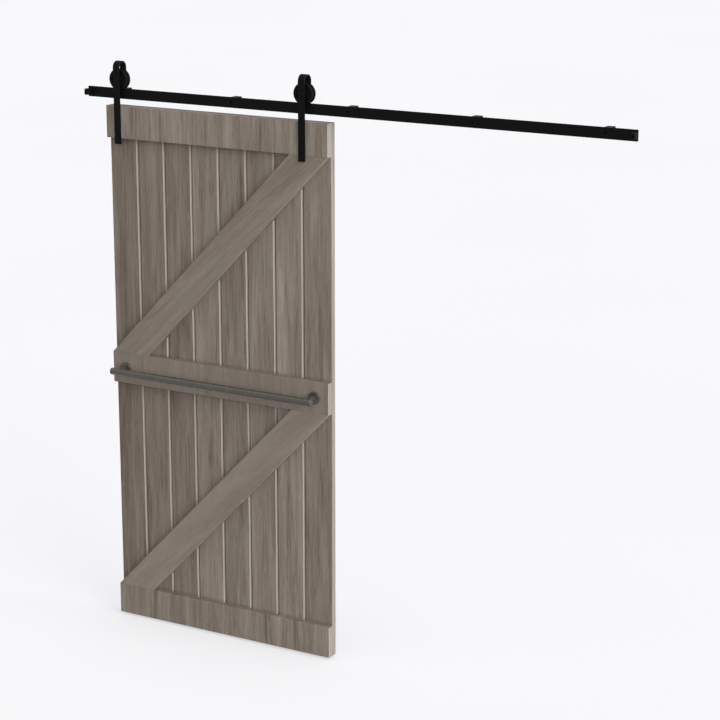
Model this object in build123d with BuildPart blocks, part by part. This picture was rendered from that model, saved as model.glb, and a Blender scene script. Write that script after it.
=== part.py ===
from build123d import *
import os
from math import asin, atan2, cos, hypot, pi, radians, sin, tan

# Sliding barn door: a boarded leaf with rails and diagonal braces, hung by two
# strap hangers from wheels that roll on a flat bar, which spacers hold off the wall.
#
# Millimetres. X runs along the track to the right, Z is up and the wall is the
# plane Y = 0, with the whole object in front of it at negative Y. The origin is
# where the axis of the middle wall bolt meets the wall. A "depth" below is a
# distance in front of the wall, so depth 50 is the plane Y = -50.

# Track
bar_length = 2343.0
bar_height = 41.3
bar_thickness = 6.0
bar_corner_radius = 3.0
bar_edge_chamfer = 0.8
wall_bolt_count = 5
wall_bolt_left_margin = 157.0
wall_bolt_right_margin = 122.0
wall_bolt_hole_radius = 4.5
spacer_depth = 50.0
spacer_block_width = 30.0
spacer_block_height = 36.0
spacer_block_corner = 2.0
spacer_neck_radius = 12.0
spacer_neck_length = 14.0

# End stops
stop_width = 15.0
stop_height = 24.0
stop_length = 27.0
stop_corner_radius = 1.5
stop_edge_fillet = 1.0
stop_recess_radius = 5.5
stop_recess_depth = 6.0
stop_bolt_radius = 3.0
stop_bolt_hole_clearance = 0.3
stop_bolt_head_radius = 5.0
stop_bolt_head_height = 3.0
stop_nut_across_flats = 10.0
stop_nut_height = 5.0

# Door leaf
door_width = 1016.0
door_height = 2134.0
door_gap_under_bar = 27.4
door_left_from_bar_end = 97.0
board_count = 8
board_thickness = 26.0
board_joint_gap = 1.0
board_joint_chamfer = 6.0
board_back_chamfer = 1.5
tongue_thickness = 8.0
tongue_reach = 7.0
tongue_clearance = 0.5
rail_height = 127.0
rail_thickness = 26.0
brace_width = 122.0
rail_edge_chamfer = 1.0

# Hangers
hanger_left_inset = 56.0
hanger_right_inset = 111.5
strap_width = 28.6
strap_thickness = 6.0
strap_length_on_door = 150.0
strap_corner_radius = 4.0
strap_edge_chamfer = 0.6
strap_bend_rise = 46.0
strap_bolt_lower = 45.0
strap_bolt_pitch = 80.0

# Wheels
wheel_width = 28.0
wheel_tread_radius = 35.5
wheel_flange_radius = 41.0
wheel_tread_width = 8.0
wheel_groove_mouth = 15.0
wheel_rim_radius = 30.0
wheel_hub_radius = 15.0
wheel_web_recess = 3.0
wheel_edge_fillet = 1.0
rolling_gap = 0.3
axle_radius = 5.0
axle_running_clearance = 0.05
bush_wall = 3.0
axle_spacer_radius = 9.0
axle_spacer_width = 6.0
axle_side_play = 0.3
axle_head_radius = 9.0
axle_head_height = 4.0
axle_nut_across_flats = 16.0
axle_nut_height = 8.0

# Pull bar
handle_bar_radius = 14.0
handle_bar_wall = 2.0
handle_bar_reach = 65.0
handle_post_inset = 62.0
handle_overhang = 22.0
handle_post_radius = 10.0
handle_rose_radius = 25.0
handle_rose_height = 8.0
handle_rose_fillet = 3.0
handle_cap_height = 3.0
handle_cap_plug_length = 9.0
handle_cap_fillet = 2.0
handle_bolt_grip = 25.0

# Bolts, nuts and screws
bolt_radius = 4.0
bolt_hole_clearance = 0.5
bolt_head_radius = 7.0
bolt_head_height = 4.0
bolt_tail = 3.0
bolt_point_chamfer = 0.8
nut_across_flats = 13.0
nut_height = 6.5
nut_face_share = 0.95
nut_blank_allowance = 1.0
washer_radius = 9.0
washer_thickness = 1.6
screw_radius = 2.0
screw_head_radius = 4.0
screw_head_angle = 90.0
screw_length = 42.0
screw_point = 4.0
board_screw_offset = 32.0
fit_clearance = 0.1

# Track levels and places that follow from the sizes
bar_back = spacer_depth
bar_front = bar_back + bar_thickness
bar_middle = (bar_back + bar_front) / 2
bar_top = bar_height / 2
wall_bolt_pitch = (bar_length - wall_bolt_left_margin - wall_bolt_right_margin) / (wall_bolt_count - 1)
bar_left = -wall_bolt_left_margin - wall_bolt_pitch * (wall_bolt_count - 1) / 2
bar_right = bar_left + bar_length
wall_bolts = [bar_left + wall_bolt_left_margin + i * wall_bolt_pitch for i in range(wall_bolt_count)]
spacer_block_depth = spacer_depth - spacer_neck_length
stops = [bar_left + stop_width / 2, bar_right - stop_width / 2]
stop_hole_radius = stop_bolt_radius + stop_bolt_hole_clearance

# Hanger depths: the wheel sits between the two legs of the strap, over the bar
strap_inner_gap = wheel_width + 2 * axle_spacer_width
strap_back = bar_middle + strap_inner_gap / 2
strap_front = strap_back + strap_thickness
strap_rear_front = bar_middle - strap_inner_gap / 2
strap_rear_back = strap_rear_front - strap_thickness

# Door depths and levels
rail_front = strap_back
rail_back = rail_front - rail_thickness
board_front = rail_back
board_back = board_front - board_thickness
board_middle = (board_front + board_back) / 2
door_top = -bar_height / 2 - door_gap_under_bar
door_bottom = door_top - door_height
door_left = bar_left + door_left_from_bar_end
door_right = door_left + door_width
door_centre = (door_left + door_right) / 2
door_middle = (door_top + door_bottom) / 2
rail_levels = {
    "rail_top": door_top - rail_height / 2,
    "rail_middle": door_middle,
    "rail_bottom": door_bottom + rail_height / 2,
}

# Wheels and hangers
hangers = {"left": door_left + hanger_left_inset, "right": door_right - hanger_right_inset}
axle_level = bar_top + rolling_gap + wheel_tread_radius
bush_bore_radius = axle_radius + axle_running_clearance
bush_radius = axle_radius + bush_wall
strap_foot = door_top - strap_length_on_door
strap_bolt_levels = [strap_foot + strap_bolt_lower, strap_foot + strap_bolt_lower + strap_bolt_pitch]
strap_bolts_at = [(x, z) for x in hangers.values() for z in strap_bolt_levels]

# Pull bar
handle_depth = rail_front + handle_bar_reach
handle_posts = {"left": door_left + handle_post_inset, "right": door_right - handle_post_inset}
handle_length = handle_posts["right"] - handle_posts["left"] + 2 * handle_overhang
handle_bolts_at = [(x, door_middle) for x in handle_posts.values()]
bolt_hole_radius = bolt_radius + bolt_hole_clearance
through_holes = strap_bolts_at + handle_bolts_at


# Helpers


def front_plane(depth):
    """The plane at this depth, seen from the room: local x, y are X, Z and extrusion comes forward."""
    return Plane.XZ.offset(depth)


def back_plane(depth):
    """The plane at this depth, seen from the wall: local x, y are -X, Z and its holes run forward."""
    return Plane(origin=(0, -depth, 0), x_dir=(-1, 0, 0), z_dir=(0, 1, 0))


def cross_plane(z):
    """The level plane through a lying bolt or wheel: local x, y are X, Y."""
    return Plane.XY.offset(z)


def crossing_axis(x, z):
    """The line through (x, z) square to the wall."""
    return Axis((x, 0, z), (0, -1, 0))


def save(builder, name):
    """Label a finished piece and write its STEP file."""
    builder.part.label = name
    export_step(builder.part, f"parts/{name}.step")


def turned(x, z, outline):
    """A turned piece on the axis through (x, z), from its outline of (radius, depth) points."""
    with BuildPart() as piece:
        with BuildSketch(cross_plane(z)):
            with BuildLine():
                Polyline([(x + radius, -depth) for radius, depth in outline], close=True)
            make_face()
        revolve(axis=crossing_axis(x, z))
    return piece.part


def save_group(name, solids):
    """Write several like solids as one piece."""
    with BuildPart() as group:
        for solid in solids:
            add(solid)
    save(group, name)


def boards_at(x, radius):
    """Which boards a hole at x cuts, tongues and grooves included."""
    pitch = door_width / board_count
    reach = radius + board_joint_gap + tongue_reach
    return [i for i in range(board_count) if -reach < x - door_left - i * pitch < pitch + reach]


# Diagonal braces: the upper edge starts at the left corner of the rail below, and
# the lower edge ends at the right corner of the rail above.


def brace_ends(low, high):
    """The slope of a brace between two levels, as an angle, and the width of its level end cut."""
    rise = high - low
    angle = atan2(rise, door_width) + asin(brace_width / hypot(door_width, rise))
    return angle, brace_width / sin(angle)


def brace_screw_points(low, high):
    """Where a brace's centreline crosses the middle of each board between the outer two."""
    angle, cut = brace_ends(low, high)
    pitch = door_width / board_count
    middles = [door_left + (i + 0.5) * pitch for i in range(1, board_count - 1)]
    return [(x, low + (x - door_left - cut / 2) * tan(angle)) for x in middles]


brace_levels = {
    "brace_upper": (rail_levels["rail_middle"] + rail_height / 2, door_top - rail_height),
    "brace_lower": (door_bottom + rail_height, rail_levels["rail_middle"] - rail_height / 2),
}
brace_screws_at = {name: brace_screw_points(*levels) for name, levels in brace_levels.items()}
board_screws_at = [
    (door_left + (i + 0.5) * door_width / board_count + aside, z + aside)
    for i in range(board_count)
    for z in rail_levels.values()
    for aside in (-board_screw_offset, board_screw_offset)
]
screws_at = board_screws_at + [point for points in brace_screws_at.values() for point in points]


# Track bar with its wall bolt holes and stop bolt holes


def make_track_bar():
    with BuildPart() as bar:
        with BuildSketch(front_plane(bar_back)) as outline:
            with Locations(((bar_left + bar_right) / 2, 0)):
                Rectangle(bar_length, bar_height)
            fillet(outline.vertices(), bar_corner_radius)
        extrude(amount=bar_thickness)
        long_edges = bar.edges().filter_by(Axis.X)
        chamfer(long_edges, bar_edge_chamfer)
        with Locations(front_plane(bar_front)):
            with Locations([(x, 0) for x in wall_bolts]):
                Hole(wall_bolt_hole_radius, depth=bar_thickness)
            with Locations([(x, 0) for x in stops]):
                Hole(stop_hole_radius, depth=bar_thickness)
    save(bar, "track_bar")


# Wall spacers: a square foot on the wall and a round neck that clears the wheel flange


def make_spacers():
    for number, x in enumerate(wall_bolts, start=1):
        with BuildPart() as spacer:
            with BuildSketch(front_plane(0)) as foot:
                with Locations((x, 0)):
                    RectangleRounded(spacer_block_width, spacer_block_height, spacer_block_corner)
            extrude(amount=spacer_block_depth)
            with BuildSketch(front_plane(spacer_block_depth)):
                with Locations((x, 0)):
                    Circle(spacer_neck_radius)
            extrude(amount=spacer_neck_length)
            with Locations(front_plane(spacer_depth)):
                with Locations((x, 0)):
                    Hole(wall_bolt_hole_radius, depth=spacer_depth)
        save(spacer, f"spacer_{number}")


# End stops: a rubber buffer block, its bolt sunk in a recess, and a nut behind the bar


def make_end_stops():
    for side, x in zip(("left", "right"), stops):
        with BuildPart() as stop:
            with BuildSketch(front_plane(bar_front)):
                with Locations((x, 0)):
                    RectangleRounded(stop_width, stop_height, stop_corner_radius)
            extrude(amount=stop_length)
            fillet(stop.edges().group_by(Axis.Y)[0], stop_edge_fillet)
            with Locations(front_plane(bar_front + stop_length)):
                with Locations((x, 0)):
                    CounterBoreHole(stop_hole_radius, stop_recess_radius, stop_recess_depth, stop_length)
        save(stop, f"end_stop_{side}")

    seat = bar_front + stop_length - stop_recess_depth
    nut_back = bar_back - stop_nut_height
    end = nut_back - bolt_tail
    save_group(
        "stop_bolts",
        [
            domed_bolt(x, 0, seat, end, stop_bolt_radius, stop_bolt_head_radius, stop_bolt_head_height)
            for x in stops
        ],
    )
    save_group(
        "stop_nuts",
        [hex_nut(x, 0, nut_back, stop_nut_across_flats, stop_nut_height, stop_bolt_radius) for x in stops],
    )


# Bolts, nuts and washers, all lying square to the wall


def domed_bolt(x, z, seat, end, radius=bolt_radius, head_radius=bolt_head_radius, head=bolt_head_height):
    """A bolt whose domed head sits at the depth seat and whose shank ends at the depth end."""
    with BuildPart() as bolt:
        with BuildSketch(cross_plane(z)):
            with BuildLine():
                TangentArc((x, -seat - head), (x + head_radius, -seat), tangent=(1, 0))
                Polyline(
                    (x + head_radius, -seat),
                    (x + radius, -seat),
                    (x + radius, -end - bolt_point_chamfer),
                    (x + radius - bolt_point_chamfer, -end),
                    (x, -end),
                    (x, -seat - head),
                )
            make_face()
        revolve(axis=crossing_axis(x, z))
    return bolt.part


def hex_nut(x, z, back, across_flats=nut_across_flats, height=nut_height, radius=bolt_radius):
    """A hexagonal nut whose back face lies at the depth back, with its corners turned off."""
    flats = across_flats / 2
    face = nut_face_share * flats
    outer = flats / cos(pi / 6) + nut_blank_allowance
    slope = (outer - face) * tan(pi / 6)
    blank = turned(
        x,
        z,
        [
            (0, back),
            (face, back),
            (outer, back + slope),
            (outer, back + height - slope),
            (face, back + height),
            (0, back + height),
        ],
    )
    with BuildPart() as nut:
        with BuildSketch(front_plane(back)):
            with Locations((x, z)):
                RegularPolygon(flats, 6, major_radius=False)
                Circle(radius + fit_clearance, mode=Mode.SUBTRACT)
        extrude(amount=height)
        add(blank, mode=Mode.INTERSECT)
    return nut.part


def ring(x, z, back, width, outer, inner):
    """A flat ring, such as a washer, whose back face lies at the depth back."""
    with BuildPart() as piece:
        with BuildSketch(front_plane(back)):
            with Locations((x, z)):
                Circle(outer)
                Circle(inner, mode=Mode.SUBTRACT)
        extrude(amount=width)
    return piece.part


def wood_screw(x, z):
    """A countersunk screw, flush with the back of the boards and pointing forward."""
    neck = board_back + (screw_head_radius - screw_radius) / tan(radians(screw_head_angle / 2))
    tip = board_back + screw_length
    return turned(
        x,
        z,
        [
            (0, board_back),
            (screw_head_radius, board_back),
            (screw_radius, neck),
            (screw_radius, tip - screw_point),
            (0, tip),
        ],
    )


# Boards: tongued and grooved, with V joints in front


def make_boards():
    pitch = door_width / board_count
    for i in range(board_count):
        is_first, is_last = i == 0, i == board_count - 1
        left = door_left + i * pitch + (0 if is_first else board_joint_gap / 2)
        right = door_left + (i + 1) * pitch - (0 if is_last else board_joint_gap / 2)
        with BuildPart() as board:
            with BuildSketch(Plane.XY.offset(door_bottom)) as section:
                with Locations(((left + right) / 2, -board_middle)):
                    Rectangle(right - left, board_thickness)
                corners = section.vertices().sort_by(Axis.X)
                jointed = ([] if is_first else corners[:2]) + ([] if is_last else corners[-2:])
                chamfer([c for c in jointed if c.Y < -board_middle], board_joint_chamfer)
                chamfer([c for c in jointed if c.Y > -board_middle], board_back_chamfer)
                if not is_last:
                    with Locations((right, -board_middle)):
                        Rectangle(
                            board_joint_gap + tongue_reach, tongue_thickness, align=(Align.MIN, Align.CENTER)
                        )
                if not is_first:
                    with Locations((left, -board_middle)):
                        Rectangle(
                            tongue_reach + tongue_clearance,
                            tongue_thickness + tongue_clearance,
                            align=(Align.MIN, Align.CENTER),
                            mode=Mode.SUBTRACT,
                        )
            extrude(amount=door_height)
            bolts = [(x, z) for x, z in through_holes if i in boards_at(x, bolt_hole_radius)]
            screws = [(-x, z) for x, z in screws_at if left < x < right]
            if bolts:
                with Locations(front_plane(board_front)):
                    with Locations(bolts):
                        Hole(bolt_hole_radius, depth=board_thickness)
            with Locations(back_plane(board_back)):
                with Locations(screws):
                    CounterSinkHole(
                        screw_radius + fit_clearance,
                        screw_head_radius + fit_clearance,
                        depth=board_thickness,
                        counter_sink_angle=screw_head_angle,
                    )
        save(board, f"board_{i + 1}")


# Rails across the front of the boards


def make_rails():
    for name, level in rail_levels.items():
        low, high = level - rail_height / 2, level + rail_height / 2
        with BuildPart() as rail:
            with BuildSketch(front_plane(rail_back)):
                with Locations((door_centre, level)):
                    Rectangle(door_width, rail_height)
            extrude(amount=rail_thickness)
            chamfer(rail.faces().sort_by(Axis.Y)[0].edges(), rail_edge_chamfer)
            bolts = [(x, z) for x, z in through_holes if low < z < high]
            if bolts:
                with Locations(front_plane(rail_front)):
                    with Locations(bolts):
                        Hole(bolt_hole_radius, depth=rail_thickness)
            with Locations(back_plane(rail_back)):
                with Locations([(-x, z) for x, z in board_screws_at if low < z < high]):
                    Hole(screw_radius + fit_clearance, depth=screw_length - board_thickness)
        save(rail, name)


def make_braces():
    for name, (low, high) in brace_levels.items():
        angle, cut = brace_ends(low, high)
        with BuildPart() as brace:
            with BuildSketch(front_plane(rail_back)):
                with BuildLine():
                    Polyline(
                        (door_left, low),
                        (door_left + cut, low),
                        (door_right, high),
                        (door_right - cut, high),
                        close=True,
                    )
                make_face()
            extrude(amount=rail_thickness)
            chamfer(brace.faces().sort_by(Axis.Y)[0].edges(), rail_edge_chamfer)
            with Locations(back_plane(rail_back)):
                with Locations([(-x, z) for x, z in brace_screws_at[name]]):
                    Hole(screw_radius + fit_clearance, depth=screw_length - board_thickness)
        save(brace, name)


def make_screws():
    save_group("board_screws", [wood_screw(x, z) for x, z in board_screws_at])
    save_group("brace_screws", [wood_screw(x, z) for points in brace_screws_at.values() for x, z in points])


# Strap hangers: one flat bar, bent over the wheel and down behind it


def make_straps():
    bend_level = axle_level + strap_bend_rise
    outer = (strap_front - strap_rear_back) / 2
    inner = outer - strap_thickness
    tail = axle_level - strap_width / 2
    for side, x in hangers.items():
        with BuildPart() as strap:
            with BuildSketch(Plane.YZ.offset(x)):
                with BuildLine():
                    Polyline(
                        (-strap_back, bend_level),
                        (-strap_back, strap_foot),
                        (-strap_front, strap_foot),
                        (-strap_front, bend_level),
                    )
                    ThreePointArc(
                        (-strap_front, bend_level),
                        (-bar_middle, bend_level + outer),
                        (-strap_rear_back, bend_level),
                    )
                    Polyline(
                        (-strap_rear_back, bend_level),
                        (-strap_rear_back, tail),
                        (-strap_rear_front, tail),
                        (-strap_rear_front, bend_level),
                    )
                    ThreePointArc(
                        (-strap_rear_front, bend_level),
                        (-bar_middle, bend_level + inner),
                        (-strap_back, bend_level),
                    )
                make_face()
            extrude(amount=strap_width / 2, both=True)
            ends = strap.edges().filter_by(Axis.Y)
            fillet(ends.filter_by_position(Axis.Z, strap_foot - 1, strap_foot + 1), strap_corner_radius)
            tails = strap.edges().filter_by(Axis.Y).filter_by_position(Axis.Z, tail - 1, tail + 1)
            fillet(tails, strap_width / 2 - fit_clearance)
            flanks = strap.faces().filter_by(Axis.X).sort_by(Axis.X)
            chamfer(flanks[0].edges() + flanks[-1].edges(), strap_edge_chamfer)
            with Locations(front_plane(strap_front)):
                with Locations((x, axle_level)):
                    Hole(axle_radius + fit_clearance, depth=strap_front - strap_rear_back)
                with Locations([(x, z) for z in strap_bolt_levels]):
                    Hole(bolt_hole_radius, depth=strap_thickness)
        save(strap, f"strap_{side}")


def make_strap_bolts():
    washer_back = board_back - washer_thickness
    nut_back = washer_back - nut_height
    end = nut_back - bolt_tail
    save_group("strap_bolts", [domed_bolt(x, z, strap_front, end) for x, z in strap_bolts_at])
    save_group(
        "strap_washers",
        [
            ring(x, z, washer_back, washer_thickness, washer_radius, bolt_radius + fit_clearance)
            for x, z in strap_bolts_at
        ],
    )
    save_group("strap_nuts", [hex_nut(x, z, nut_back) for x, z in strap_bolts_at])


# Wheels: grooved to straddle the bar, with a pressed bush that runs on the axle bolt


def make_wheels():
    half = wheel_width / 2
    tread = wheel_tread_width / 2
    mouth = wheel_groove_mouth / 2
    for side, x in hangers.items():
        with BuildPart() as wheel:
            with BuildSketch(cross_plane(axle_level)):
                with BuildLine():
                    Polyline(
                        [
                            (x + radius, -bar_middle + across)
                            for radius, across in (
                                (bush_radius, -half),
                                (wheel_hub_radius, -half),
                                (wheel_hub_radius + wheel_web_recess / 2, -half + wheel_web_recess),
                                (wheel_rim_radius - wheel_web_recess / 2, -half + wheel_web_recess),
                                (wheel_rim_radius, -half),
                                (wheel_flange_radius, -half),
                                (wheel_flange_radius, -mouth),
                                (wheel_tread_radius, -tread),
                                (wheel_tread_radius, tread),
                                (wheel_flange_radius, mouth),
                                (wheel_flange_radius, half),
                                (wheel_rim_radius, half),
                                (wheel_rim_radius - wheel_web_recess / 2, half - wheel_web_recess),
                                (wheel_hub_radius + wheel_web_recess / 2, half - wheel_web_recess),
                                (wheel_hub_radius, half),
                                (bush_radius, half),
                            )
                        ],
                        close=True,
                    )
                make_face()
            revolve(axis=crossing_axis(x, axle_level))
            rims = wheel.edges().filter_by(GeomType.CIRCLE)
            fillet([e for e in rims if abs(e.radius - wheel_flange_radius) < 0.01], wheel_edge_fillet)
        save(wheel, f"wheel_{side}")

        with BuildPart() as bush:
            add(ring(x, axle_level, bar_middle - half, wheel_width, bush_radius, bush_bore_radius))
        save(bush, f"bush_{side}")


def make_axles():
    bolt_end = strap_rear_back - axle_nut_height - bolt_tail
    save_group(
        "axle_bolts",
        [
            domed_bolt(x, axle_level, strap_front, bolt_end, axle_radius, axle_head_radius, axle_head_height)
            for x in hangers.values()
        ],
    )
    nut_back = strap_rear_back - axle_nut_height
    save_group(
        "axle_nuts",
        [
            hex_nut(x, axle_level, nut_back, axle_nut_across_flats, axle_nut_height, axle_radius)
            for x in hangers.values()
        ],
    )
    width = axle_spacer_width - axle_side_play
    save_group(
        "axle_spacers",
        [
            ring(x, axle_level, back, width, axle_spacer_radius, axle_radius + fit_clearance)
            for x in hangers.values()
            for back in (strap_rear_front, strap_back - width)
        ],
    )


# Pull bar: a tube on two posts, each with a rose at its foot and a bolt from the back


def make_handle_bar():
    start = handle_posts["left"] - handle_overhang
    bore = handle_bar_radius - handle_bar_wall
    with BuildPart() as tube:
        with BuildSketch(Plane.YZ.offset(start)):
            with Locations((-handle_depth, door_middle)):
                Circle(handle_bar_radius)
                Circle(bore, mode=Mode.SUBTRACT)
        extrude(amount=handle_length)
    save(tube, "handle_bar")

    with BuildPart() as caps:
        for x, outward in ((start, -1), (start + handle_length, 1)):
            with BuildSketch(Plane.YZ.offset(x)):
                with Locations((-handle_depth, door_middle)):
                    Circle(handle_bar_radius)
            extrude(amount=outward * handle_cap_height)
            with BuildSketch(Plane.YZ.offset(x)):
                with Locations((-handle_depth, door_middle)):
                    Circle(bore - fit_clearance)
            extrude(amount=-outward * handle_cap_plug_length)
        outer_edges = caps.edges().filter_by(GeomType.CIRCLE).sort_by(Axis.X)
        fillet([outer_edges[0], outer_edges[-1]], handle_cap_fillet)
    save(caps, "handle_end_caps")


def make_handle_posts():
    for side, x in handle_posts.items():
        with BuildPart() as post:
            with BuildSketch(front_plane(rail_front)):
                with Locations((x, door_middle)):
                    Circle(handle_post_radius)
            extrude(amount=handle_bar_reach)
            with BuildSketch(Plane.YZ.offset(x - handle_post_radius)):
                with Locations((-handle_depth, door_middle)):
                    Circle(handle_bar_radius)
            extrude(amount=2 * handle_post_radius, mode=Mode.SUBTRACT)
            with Locations(back_plane(rail_front)):
                with Locations((-x, door_middle)):
                    Hole(bolt_radius + fit_clearance, depth=handle_bolt_grip + bolt_tail)
        save(post, f"handle_post_{side}")

        with BuildPart() as rose:
            with BuildSketch(front_plane(rail_front)):
                with Locations((x, door_middle)):
                    Circle(handle_rose_radius)
            extrude(amount=handle_rose_height)
            fillet(rose.edges().group_by(Axis.Y)[0], handle_rose_fillet)
            with Locations(front_plane(rail_front + handle_rose_height)):
                with Locations((x, door_middle)):
                    Hole(handle_post_radius + fit_clearance, depth=handle_rose_height)
        save(rose, f"handle_rose_{side}")


def make_handle_bolts():
    seat = board_back - washer_thickness
    tip = rail_front + handle_bolt_grip
    with BuildPart() as bolts:
        for x, z in handle_bolts_at:
            with BuildSketch(front_plane(seat - bolt_head_height)):
                with Locations((x, z)):
                    RegularPolygon(nut_across_flats / 2, 6, major_radius=False)
            extrude(amount=bolt_head_height)
            with BuildSketch(front_plane(seat)):
                with Locations((x, z)):
                    Circle(bolt_radius)
            extrude(amount=tip - seat)
    save(bolts, "handle_bolts")
    save_group(
        "handle_washers",
        [
            ring(x, z, seat, washer_thickness, washer_radius, bolt_radius + fit_clearance)
            for x, z in handle_bolts_at
        ],
    )


os.makedirs("parts", exist_ok=True)
make_track_bar()
make_spacers()
make_end_stops()
make_boards()
make_rails()
make_braces()
make_screws()
make_straps()
make_strap_bolts()
make_wheels()
make_axles()
make_handle_bar()
make_handle_posts()
make_handle_bolts()
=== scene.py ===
import math
import bpy
from mathutils import Euler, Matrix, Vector


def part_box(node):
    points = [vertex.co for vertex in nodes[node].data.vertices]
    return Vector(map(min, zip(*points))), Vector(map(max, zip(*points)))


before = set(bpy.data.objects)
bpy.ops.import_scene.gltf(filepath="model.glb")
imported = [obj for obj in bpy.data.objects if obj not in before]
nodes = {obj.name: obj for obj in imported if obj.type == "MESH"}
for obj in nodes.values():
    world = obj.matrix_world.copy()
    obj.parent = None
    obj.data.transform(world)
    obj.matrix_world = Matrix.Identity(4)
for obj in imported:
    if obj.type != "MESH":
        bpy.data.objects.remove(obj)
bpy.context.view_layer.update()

# Lengths are in metres in the frame of the CAD model, and colours are linear

FLOOR_GAP = 0.010  # The door hangs just clear of the floor
FLOOR_REACH = 60.0
door_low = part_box("board_1")[0]
floor_level = door_low[2] - FLOOR_GAP

# Wood, before the tone and tint of its piece
WOOD_DEEP = (0.150, 0.121, 0.098)
WOOD_DARK = (0.252, 0.212, 0.176)
WOOD_MIDDLE = (0.300, 0.255, 0.214)
WOOD_LIGHT = (0.378, 0.328, 0.279)
WARM_STREAK = (0.235, 0.185, 0.148)
PORE = (0.125, 0.103, 0.082)
VEIN = (0.160, 0.129, 0.104)
DARK_TICK = (0.130, 0.105, 0.085)
PALE_TICK = (0.400, 0.352, 0.300)

# Painted highlight and painted shade on the wood, and the colour of its cut sides and ends
EDGE_HIGHLIGHT = (0.57, 0.51, 0.45)
PAINTED_SHADE = (0.075, 0.060, 0.048)
BOARD_SIDE = (0.453, 0.468, 0.506)
RAIL_END = (0.60, 0.62, 0.62)
LOW_RAIL_END = (0.50, 0.53, 0.54)

# How far those places take that colour, from 0 to 1: painted highlight on joint edges facing the side light,
# painted shade on the other joint edges, on tops and just above the rails, and the paler cut sides
EDGE_HIGHLIGHT_SHARE = 0.70
EDGE_SHADE_SHARE = 0.75
SIDE_PALENESS = 0.17
TOP_SHADE_SHARE = 0.28
LEDGE_SHADE_SHARE = 0.30
LEDGE_SHADE_HEIGHT = 0.014

# Each board's tone and tint, from left to right
BOARD_LOOKS = [
    (0.80, (1.02, 0.99, 0.97)),
    (0.89, (1.01, 0.99, 0.98)),
    (0.87, (1.01, 0.98, 0.98)),
    (1.09, (1.0, 1.0, 1.0)),
    (0.98, (1.0, 1.0, 0.99)),
    (1.01, (1.0, 1.0, 1.0)),
    (1.12, (1.0, 1.0, 1.0)),
    (0.97, (1.01, 0.99, 0.98)),
]

# Where each piece's grain starts: the rate that sets pieces apart and the furthest shift, for X, Y and Z
GRAIN_SHIFTS = ((12.99, 7.3), (78.23, 5.1), (37.72, 9.7))

# Light from all round, and what the camera sees behind the object
WORLD_LEVEL = 0.40
BACKDROP = (0.935, 0.930, 0.948)
FLOOR_TONES = ((0.265, 0.265, 0.267), (0.275, 0.275, 0.277))
FLOOR_LIFT = 0.701
FLOOR_LIFT_TINT = (1.0, 0.994, 1.019)
# The painted contact shadow on the floor: the share of the lift left where it is fully shut in, and how far
# out it reaches
SHUT_IN_SHARE = 0.80
SHUT_IN_REACH = 0.6

# Each lamp's direction from the object, the level that it gives a white face square to it, and its
# width in degrees. The glint runs along the pull bar.
LAMPS = {
    "side_light": ((0.93, -0.17, 0.33), 1.31, 60),
    "front_light": ((0.35, -0.90, 0.26), 0.127, 40),
    "glint_light": ((-0.48, -0.46, 0.75), 0.034, 20),
}

# Camera, fitted to the photograph's vanishing lines and outlines, with angles in radians
CAMERA_PLACE = (3.8879, -6.7834, 1.1007)
CAMERA_LENS = 105.236
CAMERA_DOWN = 0.25798
CAMERA_ROLL = -0.00107
CAMERA_TURN = 0.51824


# Node trees


class Tree:
    """A node tree, filled by short calls. A value is a number, a tuple or another node's output."""

    def __init__(self, node_tree):
        self.nodes = node_tree.nodes
        self.links = node_tree.links

    def feed(self, socket, value):
        if isinstance(value, bpy.types.NodeSocket):
            self.links.new(value, socket)
        else:
            socket.default_value = value

    def add(self, kind, **values):
        """A new node. An input is named with _ for each space in its name."""
        node = self.nodes.new("ShaderNode" + kind)
        for name, value in values.items():
            self.feed(node.inputs[name.replace("_", " ")], value)
        return node

    def feed_in_order(self, node, *values):
        for socket, value in zip(node.inputs, values):
            self.feed(socket, value)

    def math(self, operation, *values):
        node = self.add("Math")
        node.operation = operation
        self.feed_in_order(node, *values)
        return node.outputs[0]

    def span(self, factor, low, high, to_low, to_high):
        """The factor's stretch from low to high, turned into to_low to to_high and held beyond it."""
        node = self.add("MapRange", Value=factor, From_Min=low, From_Max=high, To_Min=to_low, To_Max=to_high)
        return node.outputs["Result"]

    def seen(self):
        """1 for camera, glossy and transmission rays, and 0 for the rays that light a surface."""
        paths = self.add("LightPath").outputs
        seen = self.math("MAXIMUM", paths["Is Camera Ray"], paths["Is Glossy Ray"])
        return self.math("MAXIMUM", seen, paths["Is Transmission Ray"])


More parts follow.
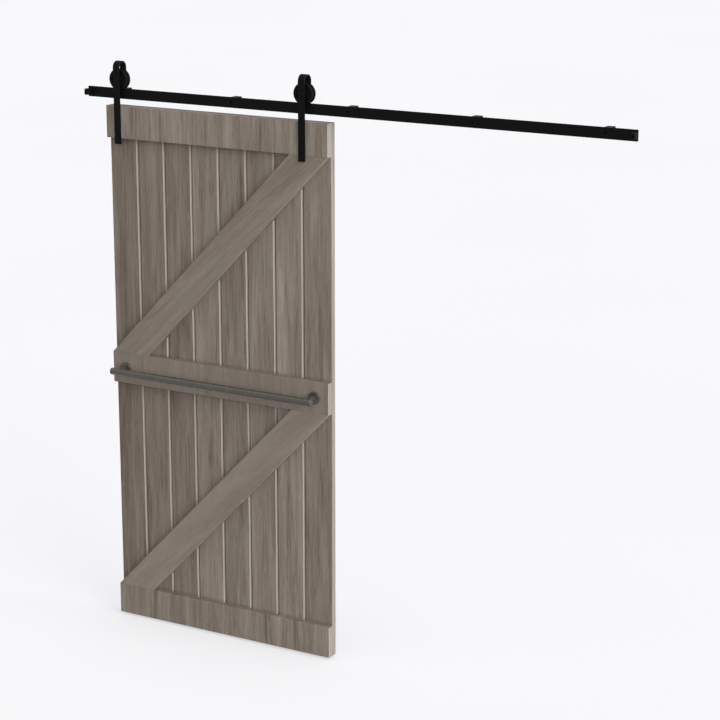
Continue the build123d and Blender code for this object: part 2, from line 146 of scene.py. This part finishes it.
class Surface(Tree):
    """A new material's tree, with textures in the object's own coordinates."""

    def __init__(self, name):
        self.material = bpy.data.materials.new(name)
        self.material.use_nodes = True
        super().__init__(self.material.node_tree)
        self.shader = self.nodes["Principled BSDF"]
        coordinates = self.add("TexCoord").outputs
        self.place = coordinates["Object"]
        self.normal = coordinates["Normal"]

    def shade(self, **values):
        for name, value in values.items():
            self.feed(self.shader.inputs[name.replace("_", " ")], value)

    def parts(self, vector):
        """The X, Y and Z of a vector."""
        return self.add("SeparateXYZ", Vector=vector).outputs

    def mapping(self, vector, scale=(1, 1, 1), location=(0, 0, 0), rotation=(0, 0, 0)):
        node = self.add("Mapping", Vector=vector, Location=location, Rotation=rotation, Scale=scale)
        return node.outputs["Vector"]

    def noise(self, vector, scale=1.0, detail=3.0, roughness=0.55, distortion=0.0):
        node = self.add("TexNoise", Vector=vector, Scale=scale, Detail=detail, Roughness=roughness,
                        Distortion=distortion)
        return node.outputs["Fac"]

    def grain(self, vector, across, along, location=(0, 0, 0), **noise):
        """Noise drawn out along Z, with its scale across and along in waves for each metre."""
        return self.noise(self.mapping(vector, (across, across, along), location), **noise)

    def waver(self, vector, across, along, reach):
        """The same coordinates, pushed sideways by up to half of reach."""
        stretched = self.mapping(vector, (across, across, along))
        noise = self.add("TexNoise", Vector=stretched, Scale=1.0, Detail=1.0)
        shift = self.add("VectorMath")
        shift.operation = "MULTIPLY_ADD"
        self.feed_in_order(shift, noise.outputs["Color"], (reach, reach, 0.0), vector)
        return shift.outputs["Vector"]

    def ramp(self, factor, *stops):
        node = self.add("ValToRGB", Fac=factor)
        elements = node.color_ramp.elements
        while len(elements) < len(stops):
            elements.new(0.5)
        for element, (position, colour) in zip(elements, stops):
            element.position = position
            element.color = (*colour, 1.0)
        return node.outputs["Color"]

    def mix(self, factor, first, second):
        """From the first colour to the second as the factor goes from 0 to 1."""
        node = self.add("Mix")
        node.data_type = "RGBA"
        # The node has sockets of the same name for each data type
        for name, kind, value in (("Factor", "VALUE", factor), ("A", "RGBA", first), ("B", "RGBA", second)):
            socket = [s for s in node.inputs if s.name == name and s.type == kind][0]
            self.feed(socket, (*value, 1.0) if isinstance(value, tuple) else value)
        return [s for s in node.outputs if s.type == "RGBA"][0]

    def bump(self, height, strength, distance):
        node = self.add("Bump", Height=height, Strength=strength, Distance=distance)
        self.shade(Normal=node.outputs["Normal"])


# Materials


def painted_light_and_cut_ends(t, colour, side, ledges):
    """Wood's colour with painted highlight and painted shade on its joint edges, painted shade on its tops and
    just above the rails, and the paler colour of its cut sides and ends.
    """
    facing = t.parts(t.normal)

    # Painted highlight on the joint chamfers that face the side light, and painted shade on the chamfers that
    # face away from it
    bevel = t.math("MULTIPLY", facing["X"], t.math("ABSOLUTE", facing["Y"]))
    colour = t.mix(t.span(bevel, 0.15, 0.45, 0.0, EDGE_HIGHLIGHT_SHARE), colour, EDGE_HIGHLIGHT)
    colour = t.mix(t.span(bevel, -0.30, -0.45, 0.0, EDGE_SHADE_SHARE), colour, PAINTED_SHADE)
    sideways = t.math("ABSOLUTE", facing["X"])
    colour = t.mix(t.span(sideways, 0.90, 0.98, 0.0, SIDE_PALENESS), colour, side)
    # Painted shade on the faces that look up
    colour = t.mix(t.span(facing["Z"], 0.90, 0.98, 0.0, TOP_SHADE_SHARE), colour, PAINTED_SHADE)

    # Painted shade on the front of the boards, just above a rail's top and a little behind it, in the corner
    # that the rail shuts in
    in_front = t.span(facing["Y"], -0.1, -0.5, 0.0, 1.0)
    height = t.parts(t.place)["Z"]
    for ledge in ledges:
        above = t.span(height, ledge, ledge + LEDGE_SHADE_HEIGHT, LEDGE_SHADE_SHARE, 0.0)
        behind_rail = t.span(height, ledge - 0.020, ledge - 0.010, 0.0, 1.0)
        ledge_shade = t.math("MULTIPLY", t.math("MULTIPLY", above, behind_rail), in_front)
        colour = t.mix(ledge_shade, colour, PAINTED_SHADE)
    return colour


def wood(name, seed, tone, tint=(1.0, 1.0, 1.0), lean=0.0, contrast=1.0, fleck=0.40, side=BOARD_SIDE,
         ledges=()):
    """Grey-brown stained timber. lean turns the grain from upright, about the axis into the wall."""
    t = Surface(name)
    shift = Vector([math.sin(seed * rate) * furthest for rate, furthest in GRAIN_SHIFTS])
    turned = t.mapping(t.place, location=shift, rotation=(0, lean, 0))
    turned = t.waver(turned, 6, 2.2, 0.010)
    turned = t.waver(turned, 40, 11, 0.0022)

    broad = t.grain(turned, 9, 0.8, detail=2.0, roughness=0.5)
    plank = t.grain(turned, 30, 2.2, distortion=0.6)
    streak = t.grain(turned, 95, 3.6, detail=4.0, roughness=0.65, distortion=0.4)
    fibre = t.grain(turned, 420, 13, roughness=0.6)
    pores = t.grain(turned, 1500, 55, detail=1.0)
    warm = t.grain(turned, 21, 1.5, (3.1, 0, 1.7), distortion=0.5)
    veins = t.grain(turned, 160, 4.5, (5.3, 2.9, 0), detail=2.0, distortion=0.8)
    ticks = t.grain(turned, 150, 18, (1.9, 7.7, 3.1), detail=2.0, roughness=0.6)

    def toned(colour):
        return tuple(c * tone * share for c, share in zip(colour, tint))

    mixed = 0.5
    for layer, weight in ((broad, 0.55), (plank, 0.75), (streak, 0.80), (fibre, 0.35)):
        mixed = t.math("MULTIPLY_ADD", t.math("SUBTRACT", layer, 0.5), weight * contrast, mixed)
    colour = t.ramp(mixed, (0.20, toned(WOOD_DEEP)), (0.42, toned(WOOD_DARK)), (0.56, toned(WOOD_MIDDLE)),
                    (0.80, toned(WOOD_LIGHT)))
    colour = t.mix(t.span(warm, 0.48, 0.70, 0.0, 0.6), colour, toned(WARM_STREAK))
    colour = t.mix(t.span(pores, 0.60, 0.78, 0.0, 0.35), colour, toned(PORE))
    patches = t.span(plank, 0.40, 0.62, 0.75, 0.05)
    vein = t.math("MULTIPLY", t.span(veins, 0.60, 0.72, 0.0, contrast), patches)
    colour = t.mix(vein, colour, toned(VEIN))
    colour = t.mix(t.span(ticks, 0.60, 0.74, 0.0, fleck), colour, toned(DARK_TICK))
    colour = t.mix(t.span(ticks, 0.40, 0.28, 0.0, fleck), colour, toned(PALE_TICK))

    t.shade(Base_Color=painted_light_and_cut_ends(t, colour, side, ledges), Roughness=t.span(streak, 0.3, 0.7, 0.55, 0.70),
            Specular_IOR_Level=0.12)
    t.bump(t.math("MULTIPLY_ADD", fibre, 0.6, t.math("MULTIPLY", pores, -0.5)), 0.35, 0.0006)
    return t.material


def coated_steel(name, colour, roughness, specular, spread=0.06, grain=2600.0, metallic=0.0, mottle=1.35):
    """Powder coated or painted metal: a fine orange-peel, and handling marks up to mottle times lighter."""
    t = Surface(name)
    marks = t.noise(t.place, scale=38.0, detail=4.0, roughness=0.65)
    marked = tuple(c * mottle + 0.0008 for c in colour)
    t.shade(Base_Color=t.ramp(marks, (0.35, colour), (0.72, marked)),
            Roughness=t.span(marks, 0.3, 0.7, roughness - spread, roughness + spread),
            Metallic=metallic, Specular_IOR_Level=specular)
    t.bump(t.noise(t.place, scale=grain, detail=2.0), 0.12, 0.0002)
    return t.material


def bare_metal(name, colour, roughness, spread=0.08):
    """Plated or turned metal with fine tool marks."""
    t = Surface(name)
    brushed = t.noise(t.mapping(t.place, (900, 90, 900)))
    cloud = t.noise(t.place, scale=120.0)
    dull = tuple(c * 0.72 for c in colour)
    t.shade(Base_Color=t.ramp(cloud, (0.35, dull), (0.65, colour)),
            Roughness=t.span(brushed, 0.3, 0.7, roughness - spread, roughness + spread),
            Metallic=1.0)
    t.bump(brushed, 0.15, 0.0002)
    return t.material


def moulded_rubber(name, dark=0.003, pale=0.006):
    """Black rubber with a fine grain and a faint bloom."""
    t = Surface(name)
    bloom = t.noise(t.place, scale=70.0)
    t.shade(Base_Color=t.ramp(bloom, (0.35, (dark, dark, dark)), (0.7, (pale, pale, pale))),
            Roughness=t.span(bloom, 0.3, 0.7, 0.62, 0.78),
            Specular_IOR_Level=0.10)
    t.bump(t.noise(t.place, scale=1800.0), 0.3, 0.0003)
    return t.material


def dress(material, *names):
    for name in names:
        mesh = nodes[name].data
        mesh.materials.clear()
        mesh.materials.append(material)


def brace_lean(node):
    """The turn that lays upright grain along a brace, from the corners of its box."""
    low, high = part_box(node)
    return -math.atan2(high[0] - low[0], high[2] - low[2])


rail_tops = [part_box(rail)[1][2] for rail in ("rail_middle", "rail_bottom")]
for i, (tone, tint) in enumerate(BOARD_LOOKS, 1):
    dress(wood(f"board_wood_{i}", i, tone, tint, ledges=rail_tops), f"board_{i}")
dress(wood("rail_wood_top", 11, 1.05, side=RAIL_END), "rail_top")
dress(wood("rail_wood_bottom", 12, 1.02, side=LOW_RAIL_END), "rail_bottom")
dress(wood("rail_wood_middle", 13, 0.98, contrast=0.40, fleck=0.30, side=RAIL_END), "rail_middle")
dress(wood("brace_wood_upper", 14, 1.01, lean=brace_lean("brace_upper"), contrast=0.60, fleck=0.25),
      "brace_upper")
dress(wood("brace_wood_lower", 15, 1.11, lean=brace_lean("brace_lower"), contrast=0.50, fleck=0.22),
      "brace_lower")

dress(coated_steel("black_powder_coat", (0.0028, 0.0027, 0.0028), 0.55, 0.07),
      "track_bar", "strap_left", "strap_right", "wheel_left", "wheel_right",
      *[f"spacer_{i}" for i in range(1, 6)])
dress(coated_steel("blackened_fasteners", (0.0032, 0.0030, 0.0030), 0.42, 0.05, grain=1800.0),
      "stop_bolts", "stop_nuts", "strap_bolts", "strap_washers", "strap_nuts", "axle_bolts", "axle_nuts")
dress(coated_steel("handle_bronze", (0.092, 0.087, 0.073), 0.26, 0.30, spread=0.03, grain=2000.0,
                   metallic=0.40, mottle=1.10),
      "handle_bar", "handle_end_caps", "handle_post_left", "handle_post_right",
      "handle_rose_left", "handle_rose_right")
dress(bare_metal("zinc_plate", (0.58, 0.58, 0.59), 0.38),
      "board_screws", "brace_screws", "handle_bolts", "handle_washers")
dress(bare_metal("turned_steel", (0.50, 0.50, 0.51), 0.30), "axle_spacers")
dress(bare_metal("bearing_bronze", (0.52, 0.34, 0.15), 0.35), "bush_left", "bush_right")
dress(moulded_rubber("buffer_rubber"), "end_stop_left", "end_stop_right")


# Floor, light and camera


def make_floor():
    """A plain pale floor, lifted to the backdrop's level where it is seen."""
    t = Surface("studio_floor")
    dark, pale = FLOOR_TONES
    tone = t.noise(t.place, scale=0.35, detail=1.0)
    t.shade(Base_Color=t.ramp(tone, (0.3, dark), (0.7, pale)), Roughness=0.9, Specular_IOR_Level=0.0)
    # The lift fades a little where the object shuts the floor in, a soft painted contact shadow around its
    # base
    shut_in = t.add("AmbientOcclusion", Distance=SHUT_IN_REACH)
    shut_in.samples = 4
    level = t.span(shut_in.outputs["AO"], 0.0, 1.0, FLOOR_LIFT * SHUT_IN_SHARE, FLOOR_LIFT)
    lift = t.add("Emission", Color=(*FLOOR_LIFT_TINT, 1.0), Strength=t.math("MULTIPLY", t.seen(), level))
    both = t.add("AddShader")
    t.feed_in_order(both, t.shader.outputs["BSDF"], lift.outputs["Emission"])
    t.feed(t.nodes["Material Output"].inputs["Surface"], both.outputs["Shader"])

    mesh = bpy.data.meshes.new("studio_floor")
    corners = [(-1, -1), (1, -1), (1, 1), (-1, 1)]
    mesh.from_pydata([(x * FLOOR_REACH, y * FLOOR_REACH, floor_level) for x, y in corners], [], [(0, 1, 2, 3)])
    mesh.materials.append(t.material)
    floor = bpy.data.objects.new("studio_floor", mesh)
    bpy.context.scene.collection.objects.link(floor)


def make_world():
    """Even light all round the object, and a pale backdrop where it is seen."""
    world = bpy.data.worlds.new("studio")
    bpy.context.scene.world = world
    world.use_nodes = True
    t = Tree(world.node_tree)
    light = t.nodes["Background"]
    t.feed_in_order(light, (1.0, 1.0, 1.0, 1.0), WORLD_LEVEL)
    backdrop = t.add("Background", Color=(*BACKDROP, 1.0))
    choice = t.add("MixShader")
    t.feed_in_order(choice, t.seen(), light.outputs["Background"], backdrop.outputs["Background"])
    t.feed(t.nodes["World Output"].inputs["Surface"], choice.outputs["Shader"])


def make_lamp(name, towards, level, width):
    """A distant lamp that shines from the direction towards."""
    data = bpy.data.lights.new(name, "SUN")
    data.energy = level * math.pi
    data.angle = math.radians(width)
    lamp = bpy.data.objects.new(name, data)
    lamp.rotation_euler = Vector(towards).to_track_quat("Z", "Y").to_euler()
    bpy.context.scene.collection.objects.link(lamp)


def make_camera():
    data = bpy.data.cameras.new("camera")
    data.sensor_width = 36.0
    data.lens = CAMERA_LENS
    data.clip_end = 200.0
    camera = bpy.data.objects.new("camera", data)
    camera.location = CAMERA_PLACE
    camera.rotation_euler = Euler((math.pi / 2 - CAMERA_DOWN, CAMERA_ROLL, CAMERA_TURN), "XYZ")
    bpy.context.scene.collection.objects.link(camera)
    bpy.context.scene.camera = camera


make_floor()
make_world()
for name, lamp in LAMPS.items():
    make_lamp(name, *lamp)
make_camera()
bpy.context.scene.view_settings.view_transform = "Standard"
